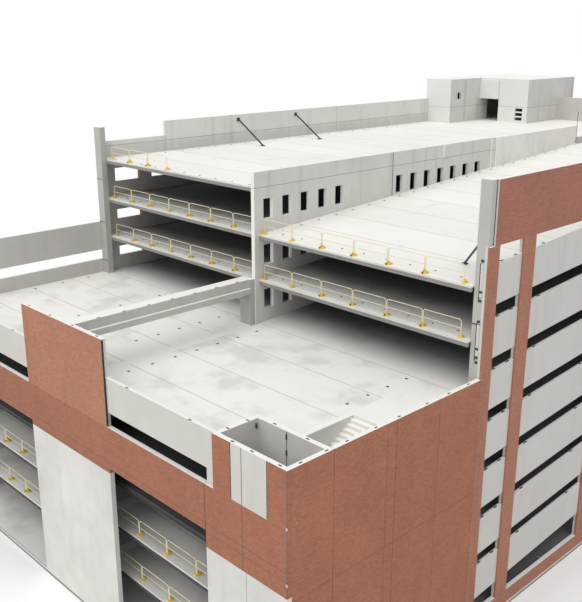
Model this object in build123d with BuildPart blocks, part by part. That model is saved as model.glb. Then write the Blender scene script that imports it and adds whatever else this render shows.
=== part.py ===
from build123d import *

import os

# Precast concrete car park at one half of full size: two bays of double tee floors,
# level on the left and ramped on the right, with a wall of upright windows between them.
# X runs along the front, Y along the length, Z up, and the origin is the middle of the
# footprint on the ground. Sizes are full-size metres times M. A distance s is measured
# from the right face towards -X, and a distance t from the front face towards +Y.
M = 500.0

# Levels: 0 is the ground floor, 5 the working deck at the front and 8 the roof.
STOREY = 3.2 * M
BASE_THICKNESS = 0.3 * M
DECK_LEVEL = 5
ROOF_LEVEL = 8

# Footprint
WIDTH = 37.9 * M
LENGTH = 71.6 * M
REAR_TOWER_DEPTH = 3.0 * M
CENTRE_S = 18.3 * M
FRONT_DEPTH = 15.0 * M
REAR_LEVEL_DEPTH = 3.3 * M
REAR_OPEN_DEPTH = 14.3 * M

# Panels of the outer walls
WALL = 0.3 * M
RECESS = 0.1 * M
JOINT = 0.02 * M
RAIL_HEIGHT = 1.07 * M

# Right and left faces: brick strips, and grey panels between
STRIP_WIDTH = 0.95 * M
PIER_WIDTH = 1.25 * M
NARROW_BAY = 2.45 * M
LONG_BAYS = 5
LAST_STRIP_WIDTH = 1.4 * M
COLUMN_WIDTH = 0.85 * M
COLUMN_DEPTH = 0.5 * M
RIGHT_COLUMN_WIDTH = 0.55 * M
SPANDREL_RISE = 1.15 * M
SPANDREL_HEIGHT = 2.4 * M
BASE_WALL_HEIGHT = 1.0 * M
TOP_PANEL_HEIGHT = 3.6 * M
TOP_PANEL_RISE = 2.65 * M
TOP_PANEL_START = 0.45 * M

# Double tee floors
FLANGE = 0.12 * M
TEE_DEPTH = 0.6 * M
EDGE_DEPTH = 0.34 * M
STEM = 0.16 * M
STEM_PITCH = 3.66 * M
FLOOR_SETBACK = 1.25 * M

# Wall on the centre line, with its rows of windows
LITE_THICKNESS = 0.3 * M
LITE_PANELS = 2
PLAIN_WALL_PROUD = 0.25 * M
WINDOW_WIDTH = 0.88 * M
WINDOW_HEIGHT = 1.4 * M
WINDOW_PITCH = 1.78 * M
WINDOW_SILL = 1.0 * M
FIRST_WINDOWS = 5
SECOND_WINDOWS = 7

# Inverted tee beams on the centre line
BEAM_STEM = 0.8 * M
BEAM_LEDGE = 0.3 * M
BEAM_FOOT = 0.5 * M
HIGH_BEAM_STEM = 1.5 * M
HIGH_BEAM_RISE = 0.12 * M
HIGH_BEAM_DEPTH = 1.05 * M
HIGH_BEAM_FOOT = 0.3 * M
CENTRE_COLUMN_WIDTH = 1.4 * M
CENTRE_COLUMN_DEPTH = 0.7 * M

# Front face
TOWER_WIDTH = 5.3 * M
TOWER_FOOT_WIDTH = 6.0 * M
TOWER_DEPTH = 3.05 * M
CORNER_STRIP = 1.34 * M
TOWER_PANEL = 2.56 * M
BAND_DROP = 1.98 * M
BAND_HEIGHT = 2.68 * M
BAND_PIER_HEIGHT = 2.99 * M
BAND_TOWER_HEIGHT = 3.66 * M
FRONT_SPANDREL_HEIGHT = 2.15 * M
PIER_NEAR = 3.35 * M
PIER_FAR = 5.87 * M
CENTRE_PANEL_RISE = 3.34 * M
REAR_STRIP = 0.95 * M
STAIR_WALL_JOINTS = (3.1 * M, 7.0 * M, 11.3 * M)

# Stair behind the shaft
STAIR_WIDTH = 3.1 * M
STAIR_DEPTH = 7.85 * M
STAIR_CORE = 0.35 * M
FLIGHT_GAP = 0.1 * M
NEAR_LANDING = 2.8 * M
FAR_LANDING = 2.7 * M
LANDING_THICKNESS = 0.2 * M
TREADS = 8
TREAD_GAP = 0.004 * M
DOOR_HEIGHT = 2.1 * M
DOOR_WIDTH = 1.2 * M

# Tower behind the rear face and the house that continues it on the roof
HOUSE_HEIGHT = 4.6 * M
HOUSE_WALL = 0.25 * M
HOUSE_DEPTH = 13.0 * M
HOUSE_STEP_DEPTH = 7.1 * M
HOUSE_NARROW = 3.4 * M
HOUSE_WIDE = 9.7 * M
HOUSE_ROOF = 0.2 * M
HOUSE_DOOR = 2.5 * M
HOUSE_DOOR_HEIGHT = 2.5 * M
HOUSE_RETURN = 1.5 * M
LINTEL_HEIGHT = 2.1 * M
LINTEL_THICKNESS = 0.15 * M
HOUSE_WINDOW = 0.7 * M
HOUSE_WINDOW_INSET = 1.3 * M
HOUSE_WINDOW_SILL = 2.6 * M
LOUVRES = 3
LOUVRE_WIDTH = 0.95 * M
LOUVRE_HEIGHT = 0.35 * M
LOUVRE_PITCH = 0.5 * M
LOUVRE_INSET = 0.6 * M
LOUVRE_SILL = 0.25 * M

# Walls on the left roof edge
LOW_PARAPET = 1.35 * M
HIGH_PARAPET = 2.6 * M
LOW_PARAPET_LENGTH = 6.3 * M
PARAPET_PANELS = 5

# Guard rails and props of the building work
RAIL = 0.05 * M
RAIL_TOP = 1.05 * M
RAIL_MID = 0.55 * M
RAIL_POSTS = 2.6 * M
RAIL_FOOT = 0.4 * M
RAIL_FOOT_HEIGHT = 0.1 * M
RAIL_INSET = 0.3 * M
PROP_TUBE = 0.1 * M
PROP_REACH = 3.4 * M
PROP_RISE = 2.15 * M
PROP_PLACE = 0.9 * M
PROP_PANELS = (1, 2)
COLUMN_PROP_REACH = 2.6 * M
COLUMN_PROP_SKEW = 2.3 * M
PROP_PLATE = 0.3 * M
PROP_PLATE_THICKNESS = 0.04 * M

# Places that follow from the sizes above
INNER_FACE = LENGTH - WALL
REAR_TOWER_END = LENGTH + REAR_TOWER_DEPTH
RAMP_START = FRONT_DEPTH - WALL
RAMP_END = INNER_FACE - REAR_LEVEL_DEPTH
SLOPE = STOREY / (RAMP_END - RAMP_START)
FIRST_PIER = FRONT_DEPTH + STRIP_WIDTH + NARROW_BAY
LAST_PIER = INNER_FACE - LAST_STRIP_WIDTH
PIER_PITCH = (LAST_PIER - FIRST_PIER) / LONG_BAYS
LEFT_INNER = WIDTH - WALL
LITE_NEAR = CENTRE_S - LITE_THICKNESS / 2
LITE_FAR = CENTRE_S + LITE_THICKNESS / 2
BEAM_NEAR = CENTRE_S - BEAM_STEM / 2
BEAM_FAR = CENTRE_S + BEAM_STEM / 2
LITE_END = INNER_FACE - REAR_OPEN_DEPTH
LITE_PANEL = (LITE_END - RAMP_START) / (LITE_PANELS + 1)
PLAIN_WALL_T = (LITE_END - LITE_PANEL, LITE_END)
PIER_START = CENTRE_S - PIER_NEAR
PIER_END = CENTRE_S + PIER_FAR
LOW_PARAPET_END = FRONT_DEPTH + LOW_PARAPET_LENGTH
HOUSE_FRONT = LENGTH - HOUSE_DEPTH
HOUSE_STEP = LENGTH - HOUSE_STEP_DEPTH
HOUSE_SIDE = WIDTH - HOUSE_NARROW
HOUSE_INNER = WIDTH - HOUSE_WIDE
STAIR_FAR = WALL + STAIR_WIDTH
STAIR_END = TOWER_DEPTH + STAIR_DEPTH
STRIPS = [(FRONT_DEPTH, FRONT_DEPTH + STRIP_WIDTH)]
for i in range(LONG_BAYS):
    pier = FIRST_PIER + i * PIER_PITCH
    STRIPS.append((pier, pier + PIER_WIDTH))
STRIPS.append((LAST_PIER, INNER_FACE))
BAYS = [(before[1], after[0]) for before, after in zip(STRIPS, STRIPS[1:])]


def level(k):
    """Height of the floor surface of level k."""
    return BASE_THICKNESS + k * STOREY


WORK_DECK = level(DECK_LEVEL)
ROOF = level(ROOF_LEVEL)
WALL_TOP = WORK_DECK + RAIL_HEIGHT
ROOF_WALL_TOP = ROOF + RAIL_HEIGHT
BAND_TOP = WORK_DECK - BAND_DROP
TOP_PANEL_TOP = ROOF + TOP_PANEL_RISE
TOP_PANEL_BOTTOM = TOP_PANEL_TOP - TOP_PANEL_HEIGHT
LOWER_LEVELS = range(1, DECK_LEVEL + 1)


def x_at(s):
    """X of a place at distance s from the right face."""
    return WIDTH / 2 - s


def y_at(t):
    """Y of a place at distance t from the front face."""
    return t - REAR_TOWER_END / 2


def side_plane(s):
    """The upright plane at s, facing +X, on which a sketch reads (Y, Z)."""
    return Plane.YZ.offset(x_at(s))


def front_plane(t):
    """The upright plane at t, facing the front, on which a sketch reads (X, Z)."""
    return Plane(origin=(0, y_at(t), 0), x_dir=(1, 0, 0), z_dir=(0, -1, 0))


def rectangle(low, high, mode=Mode.ADD):
    """A rectangle between two corners of the sketch being drawn."""
    with Locations(((low[0] + high[0]) / 2, (low[1] + high[1]) / 2)):
        Rectangle(abs(high[0] - low[0]), abs(high[1] - low[1]), mode=mode)


def along_length(t, z):
    """A rectangle over the ranges t and z, on a side plane."""
    rectangle((y_at(t[0]), z[0]), (y_at(t[1]), z[1]))


def along_front(s, z):
    """A rectangle over the ranges s and z, on a front plane."""
    rectangle((x_at(s[0]), z[0]), (x_at(s[1]), z[1]))


def on_plan(s, t, mode=Mode.ADD):
    """A rectangle over the ranges s and t, on a level plane."""
    rectangle((x_at(s[0]), y_at(t[0])), (x_at(s[1]), y_at(t[1])), mode)


def cut_through_floors(*ranges):
    """Cut upright shafts, each over a range s and a range t, through a stack of floors."""
    with BuildSketch(Plane.XY) as plan:
        for s, t in ranges:
            on_plan(s, t)
    extrude(plan.sketch, amount=ROOF + STOREY, mode=Mode.SUBTRACT)


def tee_floors(s, t, levels, slope=0.0, drop=0.0):
    """Double tee floors over the ranges s and t, one on each level, their stems along X.

    The surface rises by slope along t, and starts higher by drop times slope. The first
    stem, along the front edge, is shallow.
    """
    stems = round((t[1] - t[0] - STEM) / STEM_PITCH)
    pitch = (t[1] - t[0] - STEM) / stems

    def height(place):
        return slope * (place - t[0] + drop)

    points = [(t[0], height(t[0])), (t[1], height(t[1]))]
    for i in range(stems, -1, -1):
        near = t[0] + i * pitch
        far = near + STEM
        if i < stems:
            points.append((far, height(far) - FLANGE))
        depth = TEE_DEPTH if i > 0 else EDGE_DEPTH
        points.append((far, height(near) - depth))
        points.append((near, height(near) - depth))
        if i > 0:
            points.append((near, height(near) - FLANGE))
    with BuildSketch(side_plane(s[1])) as profile:
        with BuildLine():
            Polyline(*[(y_at(place), z) for place, z in points], close=True)
        make_face()
    with BuildSketch(side_plane(s[1])) as stack:
        with Locations(*[(0, level(k)) for k in levels]):
            add(profile.sketch_local)
    extrude(stack.sketch, amount=s[1] - s[0])


# Ground slab, the flat face that the model rests on
with BuildPart() as ground_slab:
    with BuildSketch(Plane.XY):
        on_plan((0, WIDTH), (0, LENGTH))
        on_plan((HOUSE_INNER, WIDTH), (LENGTH, REAR_TOWER_END))
    extrude(amount=BASE_THICKNESS)

# Floors of the level left bay
RIGHT_COLUMN_S = (WALL, WALL + RIGHT_COLUMN_WIDTH)
LEFT_COLUMN_S = (LEFT_INNER - COLUMN_WIDTH, LEFT_INNER)
LEFT_COLUMN_T = (RAMP_START - COLUMN_DEPTH, RAMP_START)
CORNER_COLUMN_T = (WALL, WALL + COLUMN_DEPTH)
CENTRE_COLUMN_S = (CENTRE_S - CENTRE_COLUMN_WIDTH / 2, CENTRE_S + CENTRE_COLUMN_WIDTH / 2)
REAR_COLUMNS_T = (
    (LITE_END, LITE_END + CENTRE_COLUMN_DEPTH),
    (INNER_FACE - CENTRE_COLUMN_DEPTH, INNER_FACE),
)
REAR_CENTRE = [(CENTRE_COLUMN_S, t) for t in REAR_COLUMNS_T]
REAR_CENTRE.append(((BEAM_NEAR, BEAM_FAR), (LITE_END, INNER_FACE)))
PLAIN_WALL_PLACE = ((LITE_NEAR - PLAIN_WALL_PROUD, LITE_NEAR), PLAIN_WALL_T)
with BuildPart() as left_floors:
    tee_floors((LITE_FAR, LEFT_INNER), (RAMP_START, INNER_FACE), range(1, ROOF_LEVEL + 1))
    cut_through_floors(*REAR_CENTRE)

# Ramps of the right bay, each rising one storey to the rear; the lowest one starts where
# it clears the ground slab, behind a solid wedge
WEDGE = (TEE_DEPTH + JOINT) / SLOPE
with BuildPart() as right_ramps:
    tee_floors((WALL, LITE_NEAR), (RAMP_START, RAMP_END), range(1, ROOF_LEVEL), SLOPE)
    tee_floors((WALL, LITE_NEAR), (RAMP_START + WEDGE, RAMP_END), [0], SLOPE, WEDGE)
    column_place = (RIGHT_COLUMN_S, (RAMP_START, STRIPS[0][1]))
    cut_through_floors(column_place, *REAR_CENTRE, PLAIN_WALL_PLACE)
with BuildPart() as ground_ramp:
    with BuildSketch(side_plane(LITE_NEAR)):
        with BuildLine():
            Polyline(
                (y_at(RAMP_START), BASE_THICKNESS),
                (y_at(RAMP_START + WEDGE), BASE_THICKNESS + WEDGE * SLOPE),
                (y_at(RAMP_START + WEDGE), BASE_THICKNESS),
                close=True,
            )
        make_face()
    extrude(amount=LITE_NEAR - RIGHT_COLUMN_S[1])

# Level floors behind the ramps
with BuildPart() as rear_right_floors:
    tee_floors((WALL, LITE_NEAR), (RAMP_END, INNER_FACE), range(1, ROOF_LEVEL + 1))
    cut_through_floors(*REAR_CENTRE)

# Floors of the front zone, on both sides of the centre beams. The three lowest stand
# back from the front face.
OPEN_LEVELS = range(1, DECK_LEVEL - 1)
CLOSED_LEVELS = range(DECK_LEVEL - 1, DECK_LEVEL + 1)
with BuildPart() as front_left_floors:
    tee_floors((BEAM_FAR, LEFT_INNER), (FLOOR_SETBACK, RAMP_START), OPEN_LEVELS)
    tee_floors((BEAM_FAR, LEFT_INNER), (WALL, RAMP_START), CLOSED_LEVELS)
    cut_through_floors((LEFT_COLUMN_S, CORNER_COLUMN_T), (LEFT_COLUMN_S, LEFT_COLUMN_T))
with BuildPart() as front_right_floors:
    tee_floors((WALL, BEAM_NEAR), (FLOOR_SETBACK, RAMP_START), OPEN_LEVELS)
    tee_floors((WALL, BEAM_NEAR), (WALL, RAMP_START), CLOSED_LEVELS)
    cut_through_floors(
        ((0, TOWER_WIDTH), (0, TOWER_DEPTH)),
        ((0, STAIR_FAR + STAIR_CORE), (TOWER_DEPTH, STAIR_END + STAIR_CORE)),
    )


def inverted_tee(centre, stem, foot_height, top, bottom):
    """The section of a beam with a ledge on each side, on a front plane."""
    along_front((centre - stem / 2, centre + stem / 2), (bottom, top))
    half_foot = stem / 2 + BEAM_LEDGE
    along_front((centre - half_foot, centre + half_foot), (bottom, bottom + foot_height))


# Beams under the front floors, whose stems rest on the ledges
with BuildPart() as front_centre_beams:
    with BuildSketch(front_plane(RAMP_START)):
        for k in range(1, DECK_LEVEL + 1):
            bottom = level(k) - TEE_DEPTH - BEAM_FOOT
            inverted_tee(CENTRE_S, BEAM_STEM, BEAM_FOOT, level(k), bottom)
    extrude(amount=RAMP_START - WALL)

# Rear beams between two columns, each with a level ledge for the left floor and one on
# the right that follows the ramp
REAR_BEAM_T = (REAR_COLUMNS_T[0][1], REAR_COLUMNS_T[1][0])
RAMP_FALL = SLOPE * (RAMP_END - REAR_BEAM_T[0])
LEDGE_DROP = SLOPE * STEM
REAR_BEAM_DEPTH = RAMP_FALL + TEE_DEPTH + BEAM_FOOT
with BuildPart() as rear_centre_beams:
    with BuildSketch(front_plane(REAR_BEAM_T[1])):
        for k in range(1, ROOF_LEVEL + 1):
            bottom = level(k) - REAR_BEAM_DEPTH
            along_front((BEAM_NEAR, BEAM_FAR), (bottom, level(k)))
            along_front((BEAM_FAR, BEAM_FAR + BEAM_LEDGE), (bottom, level(k) - TEE_DEPTH))
    extrude(amount=REAR_BEAM_T[1] - REAR_BEAM_T[0])
    with BuildSketch(side_plane(BEAM_NEAR)) as ledges:
        for k in range(1, ROOF_LEVEL + 1):
            top = level(k) - TEE_DEPTH
            with BuildLine():
                Polyline(
                    (y_at(REAR_BEAM_T[0]), top - RAMP_FALL - BEAM_FOOT),
                    (y_at(REAR_BEAM_T[1]), top - RAMP_FALL - BEAM_FOOT),
                    (y_at(REAR_BEAM_T[1]), top),
                    (y_at(RAMP_END), top - LEDGE_DROP),
                    (y_at(REAR_BEAM_T[0]), top - RAMP_FALL - LEDGE_DROP),
                    close=True,
                )
            make_face()
    extrude(ledges.sketch, amount=BEAM_LEDGE)

# High beam from the end of the window wall to the front panel, still without its floor
HIGH_BEAM_TOP = WORK_DECK + STOREY + HIGH_BEAM_RISE
HIGH_BEAM_BOTTOM = HIGH_BEAM_TOP - HIGH_BEAM_DEPTH
with BuildPart() as high_beam:
    with BuildSketch(front_plane(RAMP_START)):
        inverted_tee(CENTRE_S, HIGH_BEAM_STEM, HIGH_BEAM_FOOT, HIGH_BEAM_TOP, HIGH_BEAM_BOTTOM)
    extrude(amount=RAMP_START - WALL)

# Columns on the centre line: one under the high beam, two at the ends of the rear beams
with BuildPart() as centre_columns:
    with BuildSketch(Plane.XY.offset(WORK_DECK)):
        on_plan(CENTRE_COLUMN_S, (RAMP_START - CENTRE_COLUMN_DEPTH, RAMP_START))
    extrude(amount=HIGH_BEAM_BOTTOM - WORK_DECK)
    with BuildSketch(Plane.XY.offset(BASE_THICKNESS)) as rear_plan:
        for t in REAR_COLUMNS_T:
            on_plan(CENTRE_COLUMN_S, t)
    extrude(rear_plan.sketch, amount=ROOF - BASE_THICKNESS)

# Wall of upright windows on the centre line, in panels with a row of windows per storey
with BuildPart() as lite_walls:
    with BuildSketch(side_plane(LITE_FAR)):
        for i in range(LITE_PANELS):
            start = RAMP_START + i * LITE_PANEL
            along_length((start, start + LITE_PANEL - JOINT), (BASE_THICKNESS, ROOF_WALL_TOP))
        row = level(0) + WINDOW_SILL + WINDOW_HEIGHT / 2
        rows_middle = row + (ROOF_LEVEL - 1) / 2 * STOREY
        for i, count in enumerate((FIRST_WINDOWS, SECOND_WINDOWS)):
            middle = RAMP_START + i * LITE_PANEL + count / 2 * WINDOW_PITCH
            with Locations((y_at(middle), rows_middle)):
                with GridLocations(WINDOW_PITCH, STOREY, count, ROOF_LEVEL):
                    Rectangle(WINDOW_WIDTH, WINDOW_HEIGHT, mode=Mode.SUBTRACT)
    extrude(amount=LITE_THICKNESS)


# Plain wall that carries on from it, thicker towards the ramps
with BuildPart() as plain_centre_wall:
    with BuildSketch(side_plane(LITE_FAR)):
        along_length(PLAIN_WALL_T, (BASE_THICKNESS, ROOF_WALL_TOP))
    extrude(amount=LITE_THICKNESS + PLAIN_WALL_PROUD)

# Columns beside the edge of the upper floors, and one in the front left corner
HIGH_PARAPET_TOP = ROOF + HIGH_PARAPET
with BuildPart() as right_column:
    with BuildSketch(side_plane(RIGHT_COLUMN_S[1])):
        along_length(STRIPS[0], (BASE_THICKNESS, TOP_PANEL_TOP))
    extrude(amount=RIGHT_COLUMN_WIDTH)
with BuildPart() as left_columns:
    with BuildSketch(side_plane(LEFT_COLUMN_S[1])):
        corner_top = level(DECK_LEVEL + 1) + SPANDREL_RISE
        along_length(CORNER_COLUMN_T, (BASE_THICKNESS, corner_top))
        along_length(LEFT_COLUMN_T, (BASE_THICKNESS, HIGH_PARAPET_TOP))
    extrude(amount=COLUMN_WIDTH)

# Brick strips of both long faces
with BuildPart() as right_brick_strips:
    with BuildSketch(side_plane(WALL)):
        for strip in STRIPS:
            along_length(strip, (BASE_THICKNESS, TOP_PANEL_BOTTOM))
    extrude(amount=WALL)
with BuildPart() as left_brick_strips:
    with BuildSketch(side_plane(WIDTH)):
        for strip in STRIPS:
            along_length(strip, (BASE_THICKNESS, TOP_PANEL_BOTTOM))
    extrude(amount=WALL)


def ramp_spandrels(bays):
    """Sloping panels of the right face, one in front of each ramp, under the top panels."""
    with BuildSketch(side_plane(WALL)) as outlines:
        for bay in bays:
            rise = SLOPE * (bay[0] - RAMP_START), SLOPE * (bay[1] - RAMP_START)
            for k in range(1, ROOF_LEVEL):
                tops = [level(k) + r + SPANDREL_RISE for r in rise]
                with BuildLine():
                    Polyline(
                        (y_at(bay[0]), tops[0] - SPANDREL_HEIGHT),
                        (y_at(bay[1]), tops[1] - SPANDREL_HEIGHT),
                        (y_at(bay[1]), tops[1]),
                        (y_at(bay[0]), tops[0]),
                        close=True,
                    )
                make_face()
        rectangle(
            (y_at(0), TOP_PANEL_BOTTOM), (y_at(LENGTH), TOP_PANEL_TOP), Mode.SUBTRACT
        )
    extrude(outlines.sketch, amount=WALL - RECESS)


with BuildPart() as right_spandrels_narrow_bay:
    ramp_spandrels(BAYS[:1])
with BuildPart() as right_spandrels_long_bays:
    ramp_spandrels(BAYS[1:])

# Low brick wall at the ground between the strips of the right face
BASE_WALL_Z = (BASE_THICKNESS, BASE_THICKNESS + BASE_WALL_HEIGHT)
with BuildPart() as right_base_wall:
    with BuildSketch(side_plane(WALL)):
        for bay in BAYS:
            along_length(bay, BASE_WALL_Z)
    extrude(amount=WALL)

# Brick panels over the strips of the right face, joined over the middle of each strip
PANEL_EDGES = [FRONT_DEPTH + TOP_PANEL_START]
PANEL_EDGES += [(strip[0] + strip[1]) / 2 for strip in STRIPS[2:-1]]
PANEL_EDGES.append(INNER_FACE + JOINT)
with BuildPart() as right_top_panels:
    with BuildSketch(side_plane(WALL)):
        for start, end in zip(PANEL_EDGES, PANEL_EDGES[1:]):
            along_length((start, end - JOINT), (TOP_PANEL_BOTTOM, TOP_PANEL_TOP))
    extrude(amount=WALL)


def level_spandrel(place, spread, k):
    """One level panel of a floor's edge, over the range spread, drawn by place."""
    top = level(k) + SPANDREL_RISE
    place(spread, (top - SPANDREL_HEIGHT, top))


# Level panels of the left face; the front ones reach one storey over the working deck
with BuildPart() as left_spandrels:
    with BuildSketch(side_plane(WIDTH - RECESS)):
        for k in range(1, DECK_LEVEL + 2):
            level_spandrel(along_length, (WALL, FRONT_DEPTH), k)
        for bay in BAYS:
            for k in range(1, ROOF_LEVEL):
                level_spandrel(along_length, bay, k)
    extrude(amount=WALL - RECESS)
with BuildPart() as left_base_wall:
    with BuildSketch(side_plane(WIDTH)):
        for bay in [(WALL, FRONT_DEPTH)] + BAYS:
            along_length(bay, BASE_WALL_Z)
    extrude(amount=WALL)

# Walls on the left edge of the roof, the first one low
with BuildPart() as left_parapet:
    step = (HOUSE_FRONT - LOW_PARAPET_END) / PARAPET_PANELS
    with BuildSketch(side_plane(WIDTH)):
        along_length(
            (FRONT_DEPTH, LOW_PARAPET_END - JOINT),
            (TOP_PANEL_BOTTOM, ROOF + LOW_PARAPET),
        )
        for i in range(PARAPET_PANELS):
            start = LOW_PARAPET_END + i * step
            along_length((start, start + step - JOINT), (TOP_PANEL_BOTTOM, HIGH_PARAPET_TOP))
        along_length((HOUSE_FRONT, INNER_FACE), (TOP_PANEL_BOTTOM, ROOF))
    extrude(amount=WALL)

# Brick wall of the right face beside the shaft and the stair
with BuildPart() as stair_wall:
    edges = (WALL,) + STAIR_WALL_JOINTS + (FRONT_DEPTH,)
    with BuildSketch(side_plane(WALL)):
        for start, end in zip(edges, edges[1:]):
            along_length((start, end - JOINT), (BASE_THICKNESS, WALL_TOP))
    extrude(amount=WALL)

# Front of the lift shaft: brick strips, a grey panel between them and the wall below
TOWER_STRIP_Z = (BAND_TOP, WALL_TOP)
GREY_END = CORNER_STRIP + TOWER_PANEL
with BuildPart() as tower_brick_strips:
    with BuildSketch(front_plane(WALL)):
        along_front((0, CORNER_STRIP), TOWER_STRIP_Z)
        along_front((GREY_END + JOINT, TOWER_WIDTH), TOWER_STRIP_Z)
    extrude(amount=WALL)
with BuildPart() as tower_grey_panel:
    with BuildSketch(front_plane(WALL)):
        along_front((CORNER_STRIP, GREY_END), TOWER_STRIP_Z)
    extrude(amount=WALL)
with BuildPart() as tower_lower_wall:
    with BuildSketch(front_plane(WALL)):
        along_front((0, TOWER_FOOT_WIDTH), (BASE_THICKNESS, BAND_TOP - BAND_TOWER_HEIGHT))
    extrude(amount=WALL)

# Other three sides of the shaft, as one U; the fourth is the stair wall's first panel
with BuildPart() as shaft_walls:
    with BuildSketch(Plane.XY.offset(BASE_THICKNESS)):
        on_plan((WALL, TOWER_WIDTH), (WALL, TOWER_DEPTH))
        on_plan((WALL, TOWER_WIDTH - WALL), (WALL, TOWER_DEPTH - WALL), Mode.SUBTRACT)
    extrude(amount=WALL_TOP - BASE_THICKNESS)

# Brick band across the front, one storey below the working deck
with BuildPart() as front_band:
    with BuildSketch(front_plane(WALL)):
        along_front((0, TOWER_FOOT_WIDTH), (BAND_TOP - BAND_TOWER_HEIGHT, BAND_TOP))
        along_front((TOWER_FOOT_WIDTH + JOINT, PIER_START), (BAND_TOP - BAND_HEIGHT, BAND_TOP))
        along_front((PIER_START, PIER_END), (BAND_TOP - BAND_PIER_HEIGHT, BAND_TOP))
        along_front((PIER_END, WIDTH), (BAND_TOP - BAND_HEIGHT, BAND_TOP))
    extrude(amount=WALL)

# Brick panel in the middle of the front and the wall under it
with BuildPart() as centre_panel:
    with BuildSketch(front_plane(WALL)):
        along_front((PIER_START, PIER_END), (BAND_TOP, WORK_DECK + CENTRE_PANEL_RISE))
    extrude(amount=WALL)
with BuildPart() as front_shear_wall:
    with BuildSketch(front_plane(WALL)):
        along_front((PIER_START, PIER_END), (BASE_THICKNESS, BAND_TOP - BAND_PIER_HEIGHT))
    extrude(amount=WALL)

# Grey panels in front of the working deck; the right one has a leg beside the tower
FRONT_SPANDREL_Z = (WALL_TOP - FRONT_SPANDREL_HEIGHT, WALL_TOP)
with BuildPart() as front_spandrels:
    with BuildSketch(front_plane(WALL)):
        along_front((TOWER_WIDTH, PIER_START), FRONT_SPANDREL_Z)
        along_front((TOWER_WIDTH, TOWER_FOOT_WIDTH - RECESS), (BAND_TOP, WALL_TOP))
        along_front((PIER_END, WIDTH - RECESS), FRONT_SPANDREL_Z)
    extrude(amount=WALL - RECESS)

# Rear face, whose top panels are as high as the left ones
with BuildPart() as rear_brick_walls:
    with BuildSketch(front_plane(LENGTH)):
        for s in ((0, REAR_STRIP), (PIER_START, PIER_END)):
            along_front(s, (BASE_THICKNESS, HIGH_PARAPET_TOP))
    extrude(amount=WALL)
with BuildPart() as rear_spandrels:
    with BuildSketch(front_plane(LENGTH - RECESS)):
        for s in ((REAR_STRIP, PIER_START), (PIER_END, HOUSE_INNER)):
            for k in range(1, ROOF_LEVEL):
                level_spandrel(along_front, s, k)
            along_front(s, (TOP_PANEL_BOTTOM, HIGH_PARAPET_TOP))
    extrude(amount=WALL - RECESS)

# Tower behind the rear face, hollow, with a doorway on each storey
with BuildPart() as rear_tower_walls:
    with BuildSketch(Plane.XY.offset(BASE_THICKNESS)):
        on_plan((HOUSE_INNER, WIDTH), (INNER_FACE, REAR_TOWER_END))
        on_plan(
            (HOUSE_INNER + HOUSE_WALL, WIDTH - HOUSE_WALL),
            (LENGTH, REAR_TOWER_END - HOUSE_WALL),
            Mode.SUBTRACT,
        )
    extrude(amount=ROOF - BASE_THICKNESS)
    with BuildSketch(front_plane(LENGTH)) as doorways:
        door_start = HOUSE_INNER + HOUSE_WALL + DOOR_WIDTH
        for k in range(ROOF_LEVEL):
            along_front((door_start, door_start + DOOR_WIDTH), (level(k), level(k) + DOOR_HEIGHT))
    extrude(doorways.sketch, amount=WALL, mode=Mode.SUBTRACT)

# Stair behind the shaft: inner wall with a doorway on each storey, landings and treads
FLIGHT_NEAR = TOWER_DEPTH + NEAR_LANDING
FLIGHT_FAR = STAIR_END - FAR_LANDING
FLIGHT_WIDTH = (STAIR_WIDTH - FLIGHT_GAP) / 2
GOING = (FLIGHT_FAR - FLIGHT_NEAR) / TREADS
RISER = STOREY / 2 / (TREADS + 1)
with BuildPart() as stair_core_wall:
    with BuildSketch(Plane.XY.offset(BASE_THICKNESS)):
        on_plan((WALL, STAIR_FAR + STAIR_CORE), (TOWER_DEPTH, STAIR_END + STAIR_CORE))
        on_plan((WALL, STAIR_FAR), (TOWER_DEPTH, STAIR_END), Mode.SUBTRACT)
    extrude(amount=WORK_DECK - BASE_THICKNESS)
    with BuildSketch(side_plane(STAIR_FAR + STAIR_CORE)) as doorways:
        door_end = STAIR_END - (FAR_LANDING - DOOR_WIDTH) / 2
        for k in range(DECK_LEVEL):
            along_length((door_end - DOOR_WIDTH, door_end), (level(k), level(k) + DOOR_HEIGHT))
    extrude(doorways.sketch, amount=STAIR_CORE, mode=Mode.SUBTRACT)
with BuildPart() as stair_landings:
    with BuildSketch(side_plane(STAIR_FAR)):
        for k in range(DECK_LEVEL):
            half_way = level(k) + STOREY / 2
            along_length((TOWER_DEPTH, FLIGHT_NEAR), (half_way - LANDING_THICKNESS, half_way))
            along_length(
                (FLIGHT_FAR, STAIR_END), (level(k + 1) - LANDING_THICKNESS, level(k + 1))
            )
    extrude(amount=STAIR_WIDTH)
with BuildPart() as stair_treads:
    with BuildSketch(side_plane(WALL + FLIGHT_WIDTH)) as rising_forwards:
        for k in range(DECK_LEVEL):
            for i in range(TREADS):
                top = level(k) + (i + 1) * RISER
                far = FLIGHT_FAR - i * GOING
                along_length((far - GOING + TREAD_GAP, far), (top - RISER + TREAD_GAP, top))
    extrude(rising_forwards.sketch, amount=FLIGHT_WIDTH)
    with BuildSketch(side_plane(STAIR_FAR)) as rising_backwards:
        for k in range(DECK_LEVEL):
            for i in range(TREADS):
                top = level(k) + STOREY / 2 + (i + 1) * RISER
                near = FLIGHT_NEAR + i * GOING
                along_length((near, near + GOING - TREAD_GAP), (top - RISER + TREAD_GAP, top))
    extrude(rising_backwards.sketch, amount=FLIGHT_WIDTH)


def house_plan(inset):
    """The stepped outline of the roof house, drawn inwards by inset."""
    rear = REAR_TOWER_END - inset
    on_plan((HOUSE_SIDE + inset, WIDTH - inset), (HOUSE_FRONT + inset, rear))
    on_plan((HOUSE_INNER + inset, WIDTH - inset), (HOUSE_STEP + inset, rear))


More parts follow.
